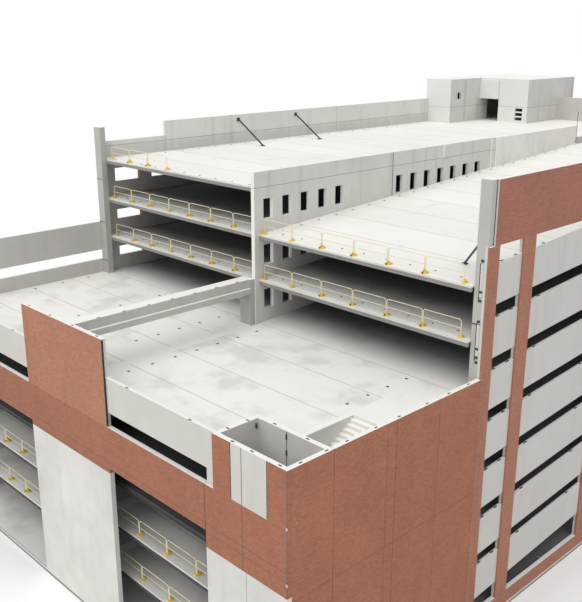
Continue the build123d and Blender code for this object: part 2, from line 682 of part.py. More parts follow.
# House on the roof: hollow, with a doorway under a deep lintel beside its inner corner,
# louvres and a window
with BuildPart() as house_walls:
    with BuildSketch(Plane.XY.offset(ROOF)):
        house_plan(0)
    extrude(amount=HOUSE_HEIGHT)
    with BuildSketch(Plane.XY.offset(ROOF)) as inside:
        house_plan(HOUSE_WALL)
    extrude(inside.sketch, amount=HOUSE_HEIGHT, mode=Mode.SUBTRACT)
    with BuildSketch(Plane.XY.offset(ROOF)) as inner_return:
        on_plan(
            (HOUSE_SIDE, HOUSE_SIDE + HOUSE_WALL),
            (HOUSE_STEP, HOUSE_STEP + HOUSE_RETURN),
        )
    extrude(inner_return.sketch, amount=HOUSE_HEIGHT)
    with BuildSketch(front_plane(HOUSE_STEP + HOUSE_WALL)) as doorway:
        along_front((HOUSE_SIDE - HOUSE_DOOR, HOUSE_SIDE), (ROOF, ROOF + HOUSE_DOOR_HEIGHT))
        for i in range(LOUVRES):
            start = HOUSE_INNER + LOUVRE_INSET
            low = ROOF + LOUVRE_SILL + i * LOUVRE_PITCH
            along_front((start, start + LOUVRE_WIDTH), (low, low + LOUVRE_HEIGHT))
    extrude(doorway.sketch, amount=HOUSE_WALL, mode=Mode.SUBTRACT)
    with BuildSketch(side_plane(HOUSE_SIDE + HOUSE_WALL)) as window:
        start = HOUSE_FRONT + HOUSE_WINDOW_INSET
        low = ROOF + HOUSE_WINDOW_SILL
        along_length((start, start + HOUSE_WINDOW), (low, low + HOUSE_WINDOW))
    extrude(window.sketch, amount=HOUSE_WALL, mode=Mode.SUBTRACT)
    with BuildSketch(front_plane(HOUSE_STEP)) as lintel:
        lintel_z = (ROOF + HOUSE_HEIGHT - LINTEL_HEIGHT, ROOF + HOUSE_HEIGHT)
        along_front((HOUSE_SIDE - HOUSE_DOOR, HOUSE_SIDE), lintel_z)
    extrude(lintel.sketch, amount=LINTEL_THICKNESS)
with BuildPart() as house_roof:
    with BuildSketch(Plane.XY.offset(ROOF + HOUSE_HEIGHT)):
        house_plan(0)
    extrude(amount=HOUSE_ROOF)


def guard_rail(s, t, z):
    """Rails and posts on weighted feet, over the range s, with their feet at height z."""
    posts = max(2, round((s[1] - s[0]) / RAIL_POSTS) + 1)
    step = (s[1] - s[0] - RAIL_FOOT) / (posts - 1)
    middles = [s[0] + RAIL_FOOT / 2 + i * step for i in range(posts)]
    with BuildSketch(front_plane(t + RAIL / 2)) as outline:
        for height in (RAIL_MID, RAIL_TOP):
            along_front((middles[0], middles[-1]), (z + height - RAIL, z + height))
        for middle in middles:
            along_front(
                (middle - RAIL / 2, middle + RAIL / 2), (z + RAIL_FOOT_HEIGHT, z + RAIL_TOP)
            )
    extrude(outline.sketch, amount=RAIL)
    with BuildSketch(Plane.XY.offset(z)) as feet:
        for middle in middles:
            on_plan(
                (middle - RAIL_FOOT / 2, middle + RAIL_FOOT / 2),
                (t - RAIL_FOOT / 2, t + RAIL_FOOT / 2),
            )
    extrude(feet.sketch, amount=RAIL_FOOT_HEIGHT)


# Guard rails on the open edges of the floors
UPPER_RAIL_T = RAMP_START + RAIL_INSET
FRONT_RAIL_T = FLOOR_SETBACK + RAIL_INSET
UPPER_RAIL_LEVELS = (DECK_LEVEL + 1, DECK_LEVEL + 2)
with BuildPart() as guard_rails_ramps:
    lift = SLOPE * (RAIL_INSET + RAIL_FOOT / 2)
    for k in UPPER_RAIL_LEVELS:
        guard_rail((RIGHT_COLUMN_S[1] + RAIL_INSET, LITE_NEAR), UPPER_RAIL_T, level(k) + lift)
with BuildPart() as guard_rails_floors:
    for k in UPPER_RAIL_LEVELS:
        guard_rail((LITE_FAR, LEFT_COLUMN_S[0] - RAIL_INSET), UPPER_RAIL_T, level(k))
with BuildPart() as guard_rails_front:
    for k in OPEN_LEVELS:
        guard_rail((TOWER_FOOT_WIDTH, BEAM_NEAR - BEAM_LEDGE), FRONT_RAIL_T, level(k))
        guard_rail((BEAM_FAR + BEAM_LEDGE, LEFT_INNER - RAIL_INSET), FRONT_RAIL_T, level(k))


def prop(foot, head):
    """A slanting steel prop between a foot plate on a floor and a head plate on a wall.

    Both places are given as (s, t, z); the wall stands beyond the head, away from the foot.
    """
    away = -1 if head[0] > foot[0] else 1
    reach = PROP_PLATE_THICKNESS + PROP_TUBE
    low = Vector(x_at(foot[0]), y_at(foot[1]), foot[2] + reach / 2)
    high = Vector(x_at(head[0]) - away * reach / 2, y_at(head[1]), head[2])
    with BuildSketch(Plane(origin=low, x_dir=(0, 1, 0), z_dir=high - low)) as tube:
        Rectangle(PROP_TUBE, PROP_TUBE)
    extrude(tube.sketch, amount=(high - low).length)
    with Locations((low.X, low.Y, foot[2] + reach / 4)):
        Box(PROP_PLATE, PROP_PLATE, reach / 2)
    with Locations((x_at(head[0]) - away * reach / 4, high.Y, high.Z)):
        Box(reach / 2, PROP_PLATE, PROP_PLATE)


# Props that hold the tall panels of the left edge while the work goes on, and one from
# the uppermost ramp to the first right column
with BuildPart() as steel_props:
    for i in PROP_PANELS:
        place = LOW_PARAPET_END + i * step + PROP_PLACE
        prop((LEFT_INNER - PROP_REACH, place, ROOF), (LEFT_INNER, place, ROOF + PROP_RISE))
    head = (STRIPS[0][0] + STRIPS[0][1]) / 2
    foot = head + COLUMN_PROP_SKEW
    deck = level(ROOF_LEVEL - 1) + SLOPE * (foot + PROP_PLATE / 2 - RAMP_START)
    column_face = RIGHT_COLUMN_S[1]
    prop((column_face + COLUMN_PROP_REACH, foot, deck), (column_face, head, deck + PROP_RISE))

PARTS = {
    "ground_slab": ground_slab,
    "left_floors": left_floors,
    "right_ramps": right_ramps,
    "ground_ramp": ground_ramp,
    "rear_right_floors": rear_right_floors,
    "front_left_floors": front_left_floors,
    "front_right_floors": front_right_floors,
    "front_centre_beams": front_centre_beams,
    "rear_centre_beams": rear_centre_beams,
    "high_beam": high_beam,
    "centre_columns": centre_columns,
    "lite_walls": lite_walls,
    "plain_centre_wall": plain_centre_wall,
    "right_column": right_column,
    "left_columns": left_columns,
    "right_brick_strips": right_brick_strips,
    "left_brick_strips": left_brick_strips,
    "right_spandrels_narrow_bay": right_spandrels_narrow_bay,
    "right_spandrels_long_bays": right_spandrels_long_bays,
    "right_base_wall": right_base_wall,
    "right_top_panels": right_top_panels,
    "left_spandrels": left_spandrels,
    "left_base_wall": left_base_wall,
    "left_parapet": left_parapet,
    "stair_wall": stair_wall,
    "tower_brick_strips": tower_brick_strips,
    "tower_grey_panel": tower_grey_panel,
    "tower_lower_wall": tower_lower_wall,
    "shaft_walls": shaft_walls,
    "front_band": front_band,
    "centre_panel": centre_panel,
    "front_shear_wall": front_shear_wall,
    "front_spandrels": front_spandrels,
    "rear_brick_walls": rear_brick_walls,
    "rear_spandrels": rear_spandrels,
    "rear_tower_walls": rear_tower_walls,
    "stair_core_wall": stair_core_wall,
    "stair_landings": stair_landings,
    "stair_treads": stair_treads,
    "house_walls": house_walls,
    "house_roof": house_roof,
    "guard_rails_ramps": guard_rails_ramps,
    "guard_rails_floors": guard_rails_floors,
    "guard_rails_front": guard_rails_front,
    "steel_props": steel_props,
}

os.makedirs("parts", exist_ok=True)
for label, piece in PARTS.items():
    piece.part.label = label
    export_step(piece.part, f"parts/{label}.step")
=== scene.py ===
import bpy
import math
import numpy as np
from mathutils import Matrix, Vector


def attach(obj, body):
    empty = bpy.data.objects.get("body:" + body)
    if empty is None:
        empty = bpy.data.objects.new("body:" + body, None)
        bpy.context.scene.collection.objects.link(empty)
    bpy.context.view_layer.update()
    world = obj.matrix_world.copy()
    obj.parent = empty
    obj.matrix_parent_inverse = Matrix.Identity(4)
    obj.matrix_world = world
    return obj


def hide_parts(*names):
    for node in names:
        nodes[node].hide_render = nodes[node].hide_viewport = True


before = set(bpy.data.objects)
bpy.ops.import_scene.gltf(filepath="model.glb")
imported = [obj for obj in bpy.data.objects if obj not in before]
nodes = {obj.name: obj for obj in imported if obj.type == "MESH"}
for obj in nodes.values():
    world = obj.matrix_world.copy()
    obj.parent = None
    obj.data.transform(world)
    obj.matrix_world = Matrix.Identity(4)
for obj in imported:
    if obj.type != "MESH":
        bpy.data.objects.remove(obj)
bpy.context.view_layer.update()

# The building at one half of full size. Places are given in full-size metres: s from the
# right face, t from the front face, and a height over the ground.
HALF = 0.5
WIDTH = 37.9
OVERALL = 74.6
STOREY = 3.2
BASE = 0.3
WALL = 0.3
PARAPET = 1.07
SPANDREL_RISE = 1.15
CENTRE_S = 18.3
FRONT_DEPTH = 15.0
RAMP_START = 14.7
SLOPE = STOREY / 53.3
TEE_WIDTH = 3.66
OPEN_LEVELS = (1, 2, 3)
UPPER_LEVELS = (6, 7)


def level(k):
    """The height of floor k, which is 0 at the ground and 8 at the roof."""
    return BASE + k * STOREY


WORK_DECK = level(5)
ROOF = level(8)


def x_of(s):
    """Model metres from the middle, towards the right, of a place s."""
    return (WIDTH / 2 - s) * HALF


def y_of(t):
    """Model metres from the middle, towards the rear, of a place t."""
    return (t - OVERALL / 2) * HALF


def place(s, t, z):
    """Model metres of places at s and t, at the height z: half of each, from the middle."""
    s, t, z = np.broadcast_arrays(*(np.asarray(v, float) for v in (s, t, z)))
    return np.stack([x_of(s), y_of(t), z * HALF], axis=-1)


# Camera at the photograph's viewing angle
YAW, PITCH = math.radians(46.034), math.radians(-17.494)
CAMERA_PLACE = (-24.591, -23.469, WORK_DECK + 19.691)
FOCAL_PIXELS, LONG_SIDE = 858.8, 602
SENSOR = 36
FARTHEST_SEEN = 500
camera = bpy.data.objects.new("camera", bpy.data.cameras.new("camera"))
bpy.context.scene.collection.objects.link(camera)
camera.location = place(*CAMERA_PLACE)
look = Vector((-math.sin(YAW) * math.cos(PITCH), math.cos(YAW) * math.cos(PITCH), math.sin(PITCH)))
camera.rotation_euler = look.to_track_quat("-Z", "Y").to_euler()
camera.data.sensor_width = SENSOR
camera.data.lens = SENSOR * FOCAL_PIXELS / LONG_SIDE
camera.data.clip_end = FARTHEST_SEEN
bpy.context.scene.camera = camera


class Number:
    """A number in a shader tree. Python's operators on it add Math nodes."""

    def __init__(self, shader, socket):
        self.shader, self.socket = shader, socket

    def math(self, operation, *values):
        node = self.shader.node("ShaderNodeMath", {"operation": operation}, dict(enumerate(values)))
        return Number(self.shader, node.outputs[0])

    def __add__(self, other):
        return self.math("ADD", self, other)

    def __radd__(self, other):
        return self.math("ADD", other, self)

    def __sub__(self, other):
        return self.math("SUBTRACT", self, other)

    def __rsub__(self, other):
        return self.math("SUBTRACT", other, self)

    def __mul__(self, other):
        return self.math("MULTIPLY", self, other)

    def __rmul__(self, other):
        return self.math("MULTIPLY", other, self)

    def __truediv__(self, other):
        return self.math("DIVIDE", self, other)

    def __gt__(self, other):
        return self.math("GREATER_THAN", self, other)

    def __lt__(self, other):
        return self.math("LESS_THAN", self, other)

    def __or__(self, other):
        return self.math("MAXIMUM", self, other)

    def __and__(self, other):
        return self.math("MINIMUM", self, other)

    def __abs__(self):
        return self.math("ABSOLUTE", self)

    def floor(self):
        return self.math("FLOOR", self)

    def part(self):
        """What is left over the whole number below."""
        return self.math("FRACT", self)

    def rise(self, low, high):
        """0 below low and 1 over high, smooth between them."""
        node = self.shader.node(
            "ShaderNodeMapRange",
            {"interpolation_type": "SMOOTHSTEP"},
            {"Value": self, "From Min": low, "From Max": high},
        )
        return Number(self.shader, node.outputs[0])


class Shader:
    """The nodes of one material, whose last one is a Principled BSDF."""

    def __init__(self, name):
        self.material = bpy.data.materials.new(name)
        self.material.use_nodes = True
        self.tree = self.material.node_tree
        self.surface = self.tree.nodes["Principled BSDF"]
        self.at = self.node("ShaderNodeTexCoord").outputs["Object"]
        self.x, self.y, self.z = self.axes(self.at)
        normal = self.node("ShaderNodeNewGeometry").outputs["Normal"]
        self.nx, self.ny, self.nz = self.axes(normal)

    def connect(self, node, inputs):
        """Gives each of a node's inputs its value or link."""
        for name, value in inputs.items():
            if isinstance(value, Number):
                value = value.socket
            if isinstance(value, bpy.types.NodeSocket):
                self.tree.links.new(value, node.inputs[name])
            else:
                node.inputs[name].default_value = value

    def node(self, kind, settings=None, inputs=None):
        """A node of one kind, its settings made first, then its inputs' values or links."""
        node = self.tree.nodes.new(kind)
        for name, value in (settings or {}).items():
            setattr(node, name, value)
        self.connect(node, inputs or {})
        return node

    def axes(self, vector):
        """The three numbers of a vector."""
        outputs = self.node("ShaderNodeSeparateXYZ", inputs={0: vector}).outputs
        return [Number(self, output) for output in outputs]

    def top_face(self):
        """1 on faces that look upwards, 0 elsewhere."""
        return self.nz > 0.5

    def upright_face(self):
        """1 on faces that stand upright, 0 elsewhere."""
        return abs(self.nz) < 0.5

    def noise(self, scale, detail=3.0, stretch=(1, 1, 1)):
        """Soft random variation from 0 to 1, at scale per metre, drawn out by stretch."""
        moved = self.node("ShaderNodeMapping", inputs={"Vector": self.at, "Scale": stretch})
        values = {"Vector": moved.outputs[0], "Scale": scale, "Detail": detail}
        return Number(self, self.node("ShaderNodeTexNoise", inputs=values).outputs[0])

    def chance(self, number):
        """A random number from 0 to 1 for each whole number."""
        node = self.node("ShaderNodeTexWhiteNoise", {"noise_dimensions": "1D"}, {"W": number})
        return Number(self, node.outputs["Value"])

    def blend(self, base, colour, amount, how="MIX"):
        """The colour laid over the base by an amount from 0 to 1."""
        base, colour = (v if isinstance(v, bpy.types.NodeSocket) else (*v, 1) for v in (base, colour))
        node = self.node(
            "ShaderNodeMix",
            {"data_type": "RGBA", "blend_type": how},
            {0: amount, 6: base, 7: colour},
        )
        return node.outputs[2]

    def shade(self, colour, factor):
        """The colour times a number."""
        node = self.node(
            "ShaderNodeVectorMath", {"operation": "SCALE"}, {0: colour, "Scale": factor}
        )
        return node.outputs[0]

    def finish(self, colour, roughness, height=None, depth=0.01):
        """Links the colour and the roughness, and a bump of the height's relief."""
        self.connect(self.surface, {"Base Color": colour, "Roughness": roughness})
        if height is not None:
            bump = self.node("ShaderNodeBump", inputs={"Height": height, "Distance": depth})
            self.connect(self.surface, {"Normal": bump.outputs[0]})
        return self.material


def either(masks):
    """The largest of several masks."""
    mask = masks[0]
    for other in masks[1:]:
        mask = mask | other
    return mask


def lines(across, places, half_width):
    """1 where the distance from the nearest of the places is under the half width, else 0."""
    return either([abs(across - number) < half_width for number in places])


def weathered(shader, colour, streaks=0.10, mottle=0.10):
    """A concrete colour with cloudy patches, rain streaks on upright faces and fine grain.

    The colour is multiplied by 1 + clouds + patches + grain, each of them centred on 0, and
    less the streaks."""
    clouds = shader.noise(0.35, 4.0)
    patches = shader.noise(1.9, 3.0)
    grain = shader.noise(28.0, 2.0)
    runs = shader.noise(2.2, 4.0, (1, 1, 0.10))
    upright = 1 - abs(shader.nz)
    tone = 1 + (clouds - 0.5) * (mottle * 2) + (patches - 0.5) * mottle + (grain - 0.5) * 0.07
    tone = tone - runs.rise(0.52, 0.72) * upright * streaks
    return shader.shade(colour, tone), grain


# Near white laid over top faces: a painted highlight of the light from above
PAINTED_LIT_TOP = (0.90, 0.89, 0.86)
JOINT_COLOUR = (0.13, 0.12, 0.11)
JOINT_HALF, LEVEL_JOINT_HALF = 0.008, 0.007


def concrete(
    name, colour, along="y", joints=(), levels=(), top=PAINTED_LIT_TOP, streaks=0.10, mottle=0.10,
    front=None, foot=None,
):
    """Precast concrete with dark joints between panels and a painted highlight on top faces.

    Joints stand at places along x or y, and levels are the heights of the level ones. The
    faces towards the front may get a paler colour, painted light of the lamp on that side, and
    below the height foot the concrete is darker and damp."""
    shader = Shader(name)
    surface, grain = weathered(shader, colour, streaks, mottle)
    if foot:
        damp = 1 - (shader.z + shader.noise(1.2) * 0.2).rise(foot - 0.05, foot + 0.25)
        surface = shader.shade(surface, 1 - damp * 0.16)
    # Faces towards the front painted paler: painted light of the lamp on that side
    if front:
        surface = shader.blend(surface, front, shader.ny < -0.7)
    # Top faces painted paler: painted light from above
    if top:
        surface = shader.blend(surface, top, shader.top_face() * 0.95)
    masks = []
    if joints:
        masks.append(lines(getattr(shader, along), joints, JOINT_HALF))
    if levels:
        masks.append(lines(shader.z, levels, LEVEL_JOINT_HALF))
    height = grain * 0.4
    if masks:
        upright = either(masks) * shader.upright_face()
        surface = shader.blend(surface, JOINT_COLOUR, upright * 0.75)
        height = height - upright
    return shader.finish(surface, 0.82 + grain * 0.12, height, 0.006)


BRICK_LENGTH, BRICK_HEIGHT, MORTAR = 0.2032 * HALF, 0.0677 * HALF, 0.010 * HALF
LIGHT_BRICK, DARK_BRICK = (0.475, 0.182, 0.102), (0.385, 0.133, 0.072)
BURNT_BRICK = (0.29, 0.098, 0.054)
MORTAR_COLOUR, SEAM_COLOUR = (0.45, 0.28, 0.195), (0.09, 0.06, 0.05)
LEVEL_SEAM_COLOUR, SEALED_COLOUR = (0.16, 0.08, 0.055), (0.10, 0.075, 0.065)
# The backs' top colour is a painted highlight of the light from above
BACK_COLOUR, BACK_LIT_TOP = (0.60, 0.585, 0.555), (0.90, 0.885, 0.86)
COURSE_STEP = 61.7


def thin_brick(
    name, outward, returns=True, begin=None, joints=(), levels=(), along="y", edge=None,
    tint=(1, 1, 1),
):
    """Thin brick in running bond on the face that looks outward, concrete on the others.

    Returns says whether the faces square to it have brick as well, and begin the place from
    which they do. Edge is a place along the wall and the half width of a dark sealed strip
    there. The tint multiplies the bricks' colours.

    A place's brick is the whole part of (x + y) / length, shifted by half on every other
    course, and of z / height; its joint is where what is left over is small."""
    shader = Shader(name)
    course = shader.z / BRICK_HEIGHT
    course_number = course.floor()
    bond = (shader.x + shader.y) / BRICK_LENGTH + (course_number * 0.5).part()
    mortar = (bond.part() < MORTAR / BRICK_LENGTH) | (course.part() < MORTAR / BRICK_HEIGHT)
    tone = shader.chance(bond.floor() + course_number * COURSE_STEP)
    clouds = shader.noise(0.5, 3.0)
    grain = shader.noise(40.0, 2.0)
    brick = shader.blend(DARK_BRICK, LIGHT_BRICK, tone)
    brick = shader.blend(brick, BURNT_BRICK, (tone > 0.86) * 0.6)
    face = shader.blend(brick, MORTAR_COLOUR, mortar * 0.8)
    face = shader.blend(face, tint, 1.0, "MULTIPLY")
    rain = shader.noise(1.6, 3.0, (1, 1, 0.18)).rise(0.50, 0.75)
    face = shader.shade(face, 0.88 + clouds * 0.24 + (grain - 0.5) * 0.08 - rain * 0.07)
    if joints:
        mask = lines(getattr(shader, along), joints, 0.009)
        face = shader.blend(face, SEAM_COLOUR, mask * 0.85)
    if levels:
        mask = lines(shader.z, levels, 0.008)
        face = shader.blend(face, LEVEL_SEAM_COLOUR, mask * 0.8)
    side = shader.nx * outward[0] + shader.ny * outward[1]
    if edge:
        middle, half_width = edge
        sealed = lines(getattr(shader, along), [middle], half_width) & (side > 0.5)
        face = shader.blend(face, SEALED_COLOUR, sealed * 0.9)
    back, _ = weathered(shader, BACK_COLOUR)
    # Top faces of the concrete backs painted paler: painted light from above
    back = shader.blend(back, BACK_LIT_TOP, shader.top_face() * 0.95)
    shown = side > 0.5
    if returns:
        square = side > -0.5
        if begin is not None:
            outwards = shader.x * outward[0] + shader.y * outward[1]
            square = square & (outwards > begin)
        shown = shown | square
    shown = shown * shader.upright_face()
    height = (1 - mortar) * shown + grain * 0.2
    return shader.finish(shader.blend(back, face, shown), 0.86 + grain * 0.1, height, 0.004)


PALE_TEE, DULL_TEE, WORN_TEE = (0.90, 0.885, 0.85), (0.865, 0.845, 0.80), (0.66, 0.63, 0.58)
# The covered colour is painted shade of the floors above
# The stain colour is partly stains and partly painted shade of the floors above
TEE_JOINT, TEE_STAIN_AND_SHADE, PAINTED_COVER_SHADE = (0.40, 0.375, 0.34), (0.50, 0.48, 0.45), (0.09, 0.09, 0.10)
# Underside colours: painted shade under the floors
SHADED_UNDERSIDE, DARKER_SHADED_UNDERSIDE = (0.10, 0.10, 0.10), (0.075, 0.075, 0.078)
# Near black for floors deep behind the front wall: painted deep shade
LIP_COLOUR, DEEP_SHADE_COLOUR = (0.78, 0.77, 0.74), (0.035, 0.035, 0.04)
TEE_JOINT_SHARE, LIP_TOP_SHARE, LIP_FOOT_SHARE = 0.012, 0.032, 0.004


# The edge colour is partly the concrete's own and partly painted shade
def decking(name, cover, slope=0.0, edge=(0.27, 0.262, 0.25), deep_shade_from=None):
    """Broomed floor of double tees: pale on top, with a joint between tees, smooth undersides
    painted dark as shade, and edges part dark concrete, part painted shade, with a thin pale lip.

    A tee is the whole part of (y - start) / width. Where z < cover + slope (y - start) the
    floor lies under another one and gets painted shade, darker with the distance from its
    edge. From a set height up, such a floor lies deep behind the front wall and is painted
    dark all over as deep shade. The lip is the top of what is left of
    (z - slope (y - start)) / storey."""
    shader = Shader(name)
    start = y_of(RAMP_START)
    behind = shader.y - start
    count = behind / (TEE_WIDTH * HALF)
    tone = shader.chance(count.floor())
    joint = (count.part() < TEE_JOINT_SHARE) | (count.part() > 1 - TEE_JOINT_SHARE)
    clouds, patches = shader.noise(0.30, 4.0), shader.noise(1.3, 4.0)
    grain = shader.noise(30.0, 2.0)
    broom = shader.noise(12.0, 2.0, (0.15, 4, 1))
    top = shader.blend(PALE_TEE, DULL_TEE, tone)
    top = shader.blend(top, WORN_TEE, patches.rise(0.56, 0.80) * 0.38)
    top = shader.shade(top, 0.93 + clouds * 0.12 + (broom - 0.5) * 0.06)
    top = shader.blend(top, TEE_JOINT, joint * 0.5)
    over = shader.z < behind * slope + (cover - 0.05)
    inside = (shader.y + shader.noise(0.8) * 0.8).rise(start + 0.9, start + 3.0)
    front_zone = shader.y < start
    # Blotches on the front decks: partly stains, partly painted shade of the floors above
    stains_and_shade = shader.noise(0.7, 6.0).rise(0.50, 0.68) * front_zone
    top = shader.blend(top, TEE_STAIN_AND_SHADE, stains_and_shade * 0.42)
    # Floors under others: painted shade, darker further in from the edge
    cover_shade = over * (inside | front_zone * 0.2)
    top = shader.blend(top, PAINTED_COVER_SHADE, cover_shade * 0.88)
    # Undersides: painted shade, with patches
    under = shader.blend(SHADED_UNDERSIDE, DARKER_SHADED_UNDERSIDE, patches)
    under = shader.shade(under, 0.9 + grain * 0.2)
    storey = STOREY * HALF
    lip = ((shader.z - BASE * HALF) / storey - behind * slope / storey).part()
    lip = (lip > 1 - LIP_TOP_SHARE) | (lip < LIP_FOOT_SHARE)
    # Edges: part dark concrete, part painted shade, with a pale lip
    side = shader.blend(edge, LIP_COLOUR, lip * 0.85)
    side = shader.shade(side, 0.85 + patches * 0.3)
    # Floors deep behind the front wall painted near black all over: painted deep shade
    if deep_shade_from:
        deep = over * (shader.z > deep_shade_from)
        top = shader.blend(top, DEEP_SHADE_COLOUR, deep * 0.9)
        side = shader.blend(side, DEEP_SHADE_COLOUR, deep * 0.95)
    colour = shader.blend(under, side, shader.upright_face())
    colour = shader.blend(colour, top, shader.top_face())
    return shader.finish(colour, 0.85 + grain * 0.1, broom * 0.5 + grain * 0.3, 0.003)


DUST = (0.55, 0.51, 0.44)


def painted_steel(name, colour, worn, dust):
    """Paint on steel with dust, small chips and an uneven shine."""
    shader = Shader(name)
    patches, chips = shader.noise(2.5, 4.0), shader.noise(38.0, 3.0)
    paint = shader.blend(colour, worn, chips.rise(0.62, 0.70) * 0.8)
    paint = shader.blend(paint, DUST, patches.rise(0.45, 0.75) * dust)
    return shader.finish(paint, 0.42 + patches * 0.3, chips, 0.0008)


# Heights and places of the joints between panels
LITE_JOINT_T, PARAPET_JOINTS_T, STAIR_WALL_JOINT_T = 28.8, (43.15, 57.4), 7.7
SHEAR_JOINT_S, BAND_JOINTS_S = 2.9, (6.05, 3.14)
HOUSE_JOINT_RISE, PARAPET_JOINT_RISE, DAMP_RISE = 1.75, 0.95, 0.9
BAND_JOINT_DROPS, STAIR_WALL_JOINT_DROP = (4.25, 4.75), 6.0
# The level from which the front floors are painted dark as deep shade
DEEP_SHADE_LEVEL = 2.6
# Paler colour for faces towards the front: painted light of the lamp on that side
PAINTED_LIT_FRONT = (0.88, 0.87, 0.84)
materials = {
    "spandrel": concrete("grey_precast_panels", (0.575, 0.555, 0.53), streaks=0.05, mottle=0.06),
    "front_spandrel": concrete("grey_front_panels", (0.585, 0.565, 0.53), streaks=0.06),
    "column": concrete("grey_precast_columns", (0.47, 0.46, 0.435)),
    "beam": concrete("grey_precast_beams", (0.52, 0.51, 0.475), streaks=0.06),
    "lite": concrete(
        "window_wall_concrete", (0.655, 0.64, 0.61), joints=[y_of(LITE_JOINT_T)],
        levels=[ROOF * HALF], streaks=0.12, mottle=0.12, front=PAINTED_LIT_FRONT,
    ),
    "plain_wall": concrete(
        "plain_wall_concrete", (0.77, 0.755, 0.72), mottle=0.14, front=PAINTED_LIT_FRONT
    ),
    "shear": concrete(
        "pale_precast_wall", (0.66, 0.645, 0.61), "x", joints=[x_of(SHEAR_JOINT_S)],
        streaks=0.06, mottle=0.20,
    ),
    # The house's front colour is painted light of the lamp on its faces towards the front
    "house": concrete(
        "roof_house_concrete", (0.62, 0.605, 0.575), levels=[(ROOF + HOUSE_JOINT_RISE) * HALF],
        streaks=0.16, mottle=0.14, front=(0.76, 0.755, 0.735),
    ),
    "parapet": concrete(
        "roof_edge_concrete", (0.71, 0.695, 0.66), joints=[y_of(t) for t in PARAPET_JOINTS_T],
        levels=[(ROOF + PARAPET_JOINT_RISE) * HALF], streaks=0.12, mottle=0.12,
        foot=(ROOF + DAMP_RISE) * HALF,
    ),
    "deck_left": decking("broomed_decks_left", ROOF * HALF),
    "deck_right": decking("broomed_ramps", (ROOF - STOREY) * HALF, SLOPE),
    "deck_rear": decking("broomed_decks_rear", ROOF * HALF),
    "deck_front": decking(
        # The front floors' near-black edges and their dark upper levels are painted shade
        "broomed_decks_front", WORK_DECK * HALF, edge=(0.06, 0.06, 0.062),
        deep_shade_from=level(DEEP_SHADE_LEVEL) * HALF,
    ),
    "ground": decking("ground_slab_concrete", WORK_DECK * HALF),
    "stair": concrete("pale_stair_concrete", (0.80, 0.785, 0.74), streaks=0.05),
    "brick_front": thin_brick(
        "thin_brick_front", (0, -1), along="x", joints=[x_of(s) for s in BAND_JOINTS_S],
        levels=[(WORK_DECK - drop) * HALF for drop in BAND_JOINT_DROPS],
        edge=(x_of(0.0), 0.016), tint=(0.87, 0.88, 0.89),
    ),
    "brick_panel": thin_brick(
        "thin_brick_panel", (0, -1), returns=False, tint=(1.05, 1.17, 1.25)
    ),
    "brick_right": thin_brick(
        "thin_brick_right", (1, 0), begin=x_of(0.14), tint=(0.95, 1.04, 1.16)
    ),
    "brick_right_top": thin_brick(
        "thin_brick_right_top", (1, 0), returns=False, tint=(0.88, 0.92, 1.09)
    ),
    "brick_left": thin_brick("thin_brick_left", (-1, 0)),
    "brick_rear": thin_brick("thin_brick_rear", (0, 1)),
    "stair_wall": thin_brick(
        "thin_brick_stair_wall", (1, 0), joints=[y_of(STAIR_WALL_JOINT_T)],
        levels=[(WORK_DECK - STAIR_WALL_JOINT_DROP) * HALF], tint=(0.93, 0.915, 0.90),
    ),
    "rail": painted_steel("pale_yellow_rails", (0.80, 0.72, 0.46), (0.84, 0.81, 0.70), 0.35),
    "yellow": painted_steel("yellow_painted_feet", (0.80, 0.60, 0.10), (0.42, 0.36, 0.28), 0.2),
    "black": painted_steel("black_painted_steel", (0.025, 0.025, 0.028), (0.22, 0.12, 0.07), 0.1),
    "plate": painted_steel("galvanised_plates", (0.62, 0.61, 0.585), (0.25, 0.16, 0.10), 0.2),
    "pocket": concrete("dark_pockets", (0.05, 0.048, 0.045), top=None),
    "sealant": concrete("dark_sealant", (0.03, 0.027, 0.025), top=None),
}
WEARS = {
    "ground_slab": "ground", "left_floors": "deck_left", "right_ramps": "deck_right",
    "ground_ramp": "ground", "rear_right_floors": "deck_rear", "front_left_floors": "deck_front",
    "front_right_floors": "deck_front", "front_centre_beams": "spandrel",
    "rear_centre_beams": "spandrel", "high_beam": "beam", "centre_columns": "beam",
    "lite_walls": "lite", "plain_centre_wall": "plain_wall", "right_column": "column",
    "left_columns": "column", "right_brick_strips": "brick_right",
    "left_brick_strips": "brick_left", "right_spandrels_narrow_bay": "spandrel",
    "right_spandrels_long_bays": "spandrel", "right_base_wall": "brick_right",
    "right_top_panels": "brick_right_top", "left_spandrels": "spandrel",
    "left_base_wall": "brick_left", "left_parapet": "parapet",
    "stair_wall": "stair_wall", "tower_brick_strips": "brick_front",
    "tower_grey_panel": "front_spandrel", "tower_lower_wall": "shear", "shaft_walls": "shear",
    "front_band": "brick_front", "centre_panel": "brick_panel", "front_shear_wall": "shear",
    "front_spandrels": "front_spandrel", "rear_brick_walls": "brick_rear",
    "rear_spandrels": "spandrel", "rear_tower_walls": "house", "stair_core_wall": "shear",
    "stair_landings": "stair", "stair_treads": "stair", "house_walls": "house",
    "house_roof": "house", "guard_rails_ramps": "yellow", "guard_rails_floors": "yellow",
    "guard_rails_front": "yellow", "steel_props": "black",
}
for name, node in nodes.items():
    node.data.materials.clear()
    node.data.materials.append(materials[WEARS[name]])


def piece(name, points, faces, material, slot):
    """A mesh from whole arrays of points and faces, which rides with the building."""
    mesh = bpy.data.meshes.new(name)
    mesh.from_pydata(np.asarray(points, float).tolist(), [], [list(face) for face in faces])
    mesh.update()
    mesh.materials.append(materials[material])
    made = bpy.data.objects.new(name, mesh)
    bpy.context.scene.collection.objects.link(made)
    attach(made, "root")
    return made


